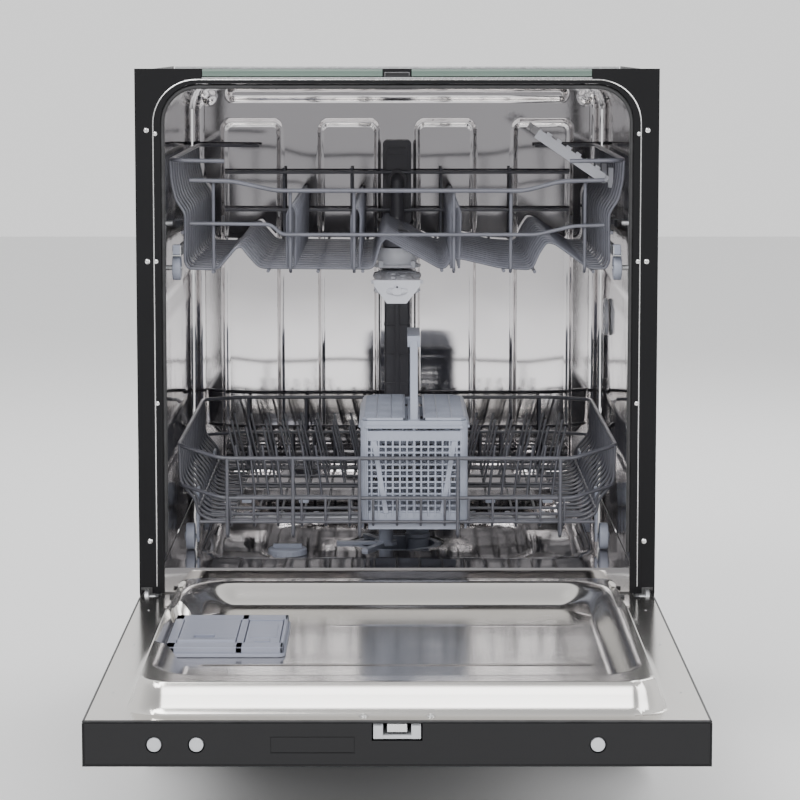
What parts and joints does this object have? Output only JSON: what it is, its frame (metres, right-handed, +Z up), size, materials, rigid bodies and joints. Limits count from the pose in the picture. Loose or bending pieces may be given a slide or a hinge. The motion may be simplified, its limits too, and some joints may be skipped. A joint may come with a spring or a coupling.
{
  "type": "built in dishwasher",
  "caption": "Built-in dishwasher with a drop-down door, steel tub, two sliding wire racks, cutlery basket, spray arms, dispenser and levelling feet.",
  "frame": {"origin": "centre of the overall footprint on the floor, with the door open", "axes": "+X to the right seen from the front, +Y from the open door towards the rear, +Z up"},
  "size_m": [0.598, 1.1872, 0.82],
  "materials": {
    "black_paint": "satin",
    "stainless": "polished",
    "galvanised": "satin",
    "black_plastic": "matte",
    "dark_grey_plastic": "satin",
    "rubber_seal": "matte",
    "trim": "gloss",
    "rack_wire": "satin",
    "grey_plastic": "satin",
    "pale_plastic": "satin",
    "dispenser_plastic": "satin",
    "door_outer": "satin",
    "fascia": "gloss",
    "button_grey": "satin"
  },
  "bodies": {
    "cabinet": {"base_tray": "black_plastic", "side_panel_left": "black_paint", "side_panel_right": "black_paint", "rear_panel": "galvanised", "front_frame": "black_paint", "trim_strips": "trim", "worktop_brackets": "galvanised", "tub_wrapper": "stainless", "tub_back_wall": "stainless", "tub_floor": "stainless", "door_gasket": "rubber_seal", "frame_screws": "galvanised", "sump_housing": "black_plastic", "coarse_filter": "grey_plastic", "lower_arm_hub": "grey_plastic", "feed_duct": "dark_grey_plastic", "rail_brackets": "galvanised", "circulation_pump": "dark_grey_plastic", "drain_pump": "dark_grey_plastic", "air_break": "grey_plastic", "inlet_valve": "pale_plastic", "drain_outlet": "black_plastic", "cable_gland": "black_plastic", "hinge_brackets": "galvanised", "door_springs": "galvanised", "toe_kick": "black_paint"},
    "fine_filter": {"fine_filter": "grey_plastic"},
    "salt_cap": {"salt_cap": "grey_plastic"},
    "foot_front_left": {"foot_front_left": "black_plastic"},
    "foot_front_right": {"foot_front_right": "black_plastic"},
    "foot_rear": {"foot_rear": "black_plastic"},
    "lower_spray_arm": {"lower_spray_arm": "pale_plastic"},
    "rail_rollers": {"rail_rollers": "grey_plastic"},
    "door": {"inner_door_panel": "stainless", "outer_door_panel": "door_outer", "control_fascia": "fascia", "hinge_arms": "galvanised", "door_seal": "rubber_seal", "dispenser_body": "dispenser_plastic", "latch_body": "button_grey"},
    "latch_hook": {"latch_hook": "button_grey"},
    "detergent_lid": {"detergent_lid": "dispenser_plastic"},
    "rinse_aid_lid": {"rinse_aid_lid": "dispenser_plastic"},
    "power_button": {"power_button": "button_grey"},
    "program_button": {"program_button": "button_grey"},
    "start_button": {"start_button": "button_grey"},
    "lower_rack": {"lower_rack_floor": "rack_wire", "lower_rack_walls": "rack_wire", "lower_rack_tines": "rack_wire"},
    "fold_tines": {"fold_tines": "rack_wire"},
    "front_wheels": {"front_wheels": "grey_plastic"},
    "rear_wheels": {"rear_wheels": "grey_plastic"},
    "cutlery_basket": {"cutlery_basket": "grey_plastic"},
    "basket_lid_left": {"basket_lid_left": "grey_plastic"},
    "basket_lid_right": {"basket_lid_right": "grey_plastic"},
    "upper_rack": {"upper_rack_floor": "rack_wire", "upper_rack_walls": "rack_wire", "upper_feed_tube": "dark_grey_plastic"},
    "upper_spray_arm": {"upper_spray_arm": "pale_plastic"},
    "cup_shelf": {"cup_shelf": "pale_plastic"}
  },
  "joints": [
    {"name": "door_hinge", "type": "hinge", "parent": "cabinet", "child": "door", "pos_m": [0, 0.0136, 0.21], "axis": [-1, 0, 0], "range_deg": [0, 90], "deforming": ["door_springs"]},
    {"name": "lower_rack_slide", "type": "slide", "parent": "cabinet", "child": "lower_rack", "axis": [0, 1, 0], "range_m": [-0.51, 0]},
    {"name": "upper_rack_slide", "type": "slide", "parent": "cabinet", "child": "upper_rack", "axis": [0, 1, 0], "range_m": [-0.4, 0]},
    {"name": "front_wheels_roll", "type": "hinge", "parent": "lower_rack", "child": "front_wheels", "pos_m": [0, 0.1416, 0.2593], "axis": [-1, 0, 0], "range_deg": [-1840, 10]},
    {"name": "rear_wheels_roll", "type": "hinge", "parent": "lower_rack", "child": "rear_wheels", "pos_m": [0, 0.4536, 0.2593], "axis": [-1, 0, 0], "range_deg": [-1840, 10]},
    {"name": "rail_rollers_roll", "type": "hinge", "parent": "cabinet", "child": "rail_rollers", "pos_m": [0, 0.0796, 0.588], "axis": [-1, 0, 0], "range_deg": [-1600, 10]},
    {"name": "fold_tines_fold", "type": "hinge", "parent": "lower_rack", "child": "fold_tines", "pos_m": [0, 0.2056, 0.297], "axis": [-1, 0, 0], "range_deg": [0, 76]},
    {"name": "basket_lift", "type": "slide", "parent": "lower_rack", "child": "cutlery_basket", "axis": [0, 0, 1], "range_m": [0, 0.035]},
    {"name": "basket_lid_left_hinge", "type": "hinge", "parent": "cutlery_basket", "child": "basket_lid_left", "pos_m": [0.008, 0.1796, 0.4108], "axis": [0, 1, 0], "range_deg": [0, 80]},
    {"name": "basket_lid_right_hinge", "type": "hinge", "parent": "cutlery_basket", "child": "basket_lid_right", "pos_m": [0.032, 0.1796, 0.4108], "axis": [0, -1, 0], "range_deg": [0, 80]},
    {"name": "upper_spray_arm_spin", "type": "hinge", "parent": "upper_rack", "child": "upper_spray_arm", "pos_m": [0, 0.3076, 0.56], "axis": [0, 0, 1], "continuous": true},
    {"name": "lower_spray_arm_spin", "type": "hinge", "parent": "cabinet", "child": "lower_spray_arm", "pos_m": [-0.014, 0.2956, 0.257], "axis": [0, 0, 1], "continuous": true},
    {"name": "cup_shelf_fold", "type": "hinge", "parent": "upper_rack", "child": "cup_shelf", "pos_m": [0.25, 0.2926, 0.688], "axis": [0, 1, 0], "range_deg": [-34, 48]},
    {"name": "detergent_lid_hinge", "type": "hinge", "parent": "door", "child": "detergent_lid", "pos_m": [-0.199, -0.2014, 0.2295], "axis": [-1, 0, 0], "range_deg": [0, 95]},
    {"name": "rinse_aid_lid_hinge", "type": "hinge", "parent": "door", "child": "rinse_aid_lid", "pos_m": [-0.141, -0.2014, 0.2285], "axis": [-1, 0, 0], "range_deg": [0, 85]},
    {"name": "latch_hook_slide", "type": "slide", "parent": "door", "child": "latch_hook", "axis": [0, 1, 0], "range_m": [0, 0.003], "stiffness_N_per_m": 600},
    {"name": "power_button_press", "type": "slide", "parent": "door", "child": "power_button", "axis": [0, 1, 0], "range_m": [0, 0.0012], "stiffness_N_per_m": 900},
    {"name": "program_button_press", "type": "slide", "parent": "door", "child": "program_button", "axis": [0, 1, 0], "range_m": [0, 0.0012], "stiffness_N_per_m": 900},
    {"name": "start_button_press", "type": "slide", "parent": "door", "child": "start_button", "axis": [0, 1, 0], "range_m": [0, 0.0012], "stiffness_N_per_m": 900},
    {"name": "fine_filter_turn", "type": "hinge", "parent": "cabinet", "child": "fine_filter", "pos_m": [0.026, 0.3236, 0.23], "axis": [0, 0, 1], "range_deg": [0, 90]},
    {"name": "salt_cap_turn", "type": "hinge", "parent": "cabinet", "child": "salt_cap", "pos_m": [-0.135, 0.2226, 0.226], "axis": [0, 0, 1], "range_deg": [0, 180]},
    {"name": "foot_front_left_screw", "type": "slide", "parent": "cabinet", "child": "foot_front_left", "axis": [0, 0, 1], "range_m": [-0.04, 0]},
    {"name": "foot_front_right_screw", "type": "slide", "parent": "cabinet", "child": "foot_front_right", "axis": [0, 0, 1], "range_m": [-0.04, 0]},
    {"name": "foot_rear_screw", "type": "slide", "parent": "cabinet", "child": "foot_rear", "axis": [0, 0, 1], "range_m": [-0.04, 0]}
  ],
  "couplings": [
    {"joint": "front_wheels_roll", "follows": "lower_rack_slide", "rad_per_m": 62.5},
    {"joint": "rear_wheels_roll", "follows": "lower_rack_slide", "rad_per_m": 62.5},
    {"joint": "rail_rollers_roll", "follows": "upper_rack_slide", "rad_per_m": 68.966}
  ]
}
